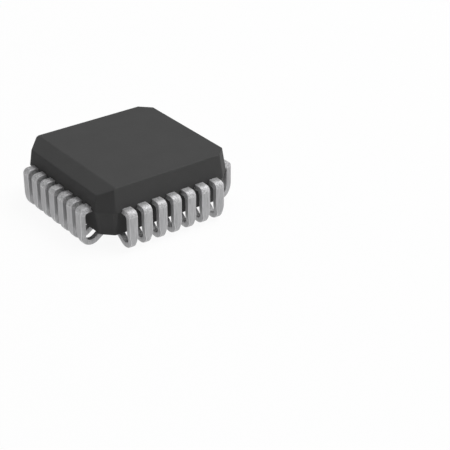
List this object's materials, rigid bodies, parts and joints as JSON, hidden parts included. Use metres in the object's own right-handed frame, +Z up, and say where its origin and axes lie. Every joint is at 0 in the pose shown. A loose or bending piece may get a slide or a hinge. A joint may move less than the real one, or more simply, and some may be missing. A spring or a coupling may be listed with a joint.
{
  "type": "plastic leaded chip carrier",
  "caption": "Square black moulded chip package, bevelled along one top edge, with tinned J-shaped leads that hook under it from every side.",
  "frame": {"origin": "on the seating plane where the hooked leads touch the board, under the middle of the body", "axes": "+Z up out of the board, +Y towards the bevelled side with lead 1 in its middle, +X completes the right-handed set"},
  "size_m": [0.0134, 0.0134, 0.0048],
  "materials": {
    "mould_compound": "black filled epoxy, moulded with a fine matt grain",
    "tinned_lead": "tin plated copper alloy, satin, with faint lines along the strip",
    "frame_copper": "bare stamped copper alloy",
    "silver_epoxy": "silver filled epoxy glue, dull",
    "silicon": "polished and passivated silicon",
    "bond_gold": "drawn gold wire"
  },
  "bodies": {
    "root": {"mould_body": "mould_compound", "lead_01": "tinned_lead", "lead_02": "tinned_lead", "lead_03": "tinned_lead", "lead_04": "tinned_lead", "lead_05": "tinned_lead", "lead_06": "tinned_lead", "lead_07": "tinned_lead", "lead_08": "tinned_lead", "lead_09": "tinned_lead", "lead_10": "tinned_lead", "lead_11": "tinned_lead", "lead_12": "tinned_lead", "lead_13": "tinned_lead", "lead_14": "tinned_lead", "lead_15": "tinned_lead", "lead_16": "tinned_lead", "lead_17": "tinned_lead", "lead_18": "tinned_lead", "lead_19": "tinned_lead", "lead_20": "tinned_lead", "lead_21": "tinned_lead", "lead_22": "tinned_lead", "lead_23": "tinned_lead", "lead_24": "tinned_lead", "lead_25": "tinned_lead", "lead_26": "tinned_lead", "lead_27": "tinned_lead", "lead_28": "tinned_lead", "die_pad": "frame_copper", "die_attach": "silver_epoxy", "silicon_die": "silicon", "bond_wire_01": "bond_gold", "bond_wire_02": "bond_gold", "bond_wire_03": "bond_gold", "bond_wire_04": "bond_gold", "bond_wire_05": "bond_gold", "bond_wire_06": "bond_gold", "bond_wire_07": "bond_gold", "bond_wire_08": "bond_gold", "bond_wire_09": "bond_gold", "bond_wire_10": "bond_gold", "bond_wire_11": "bond_gold", "bond_wire_12": "bond_gold", "bond_wire_13": "bond_gold", "bond_wire_14": "bond_gold", "bond_wire_15": "bond_gold", "bond_wire_16": "bond_gold", "bond_wire_17": "bond_gold", "bond_wire_18": "bond_gold", "bond_wire_19": "bond_gold", "bond_wire_20": "bond_gold", "bond_wire_21": "bond_gold", "bond_wire_22": "bond_gold", "bond_wire_23": "bond_gold", "bond_wire_24": "bond_gold", "bond_wire_25": "bond_gold", "bond_wire_26": "bond_gold", "bond_wire_27": "bond_gold", "bond_wire_28": "bond_gold"}
  },
  "joints": []
}
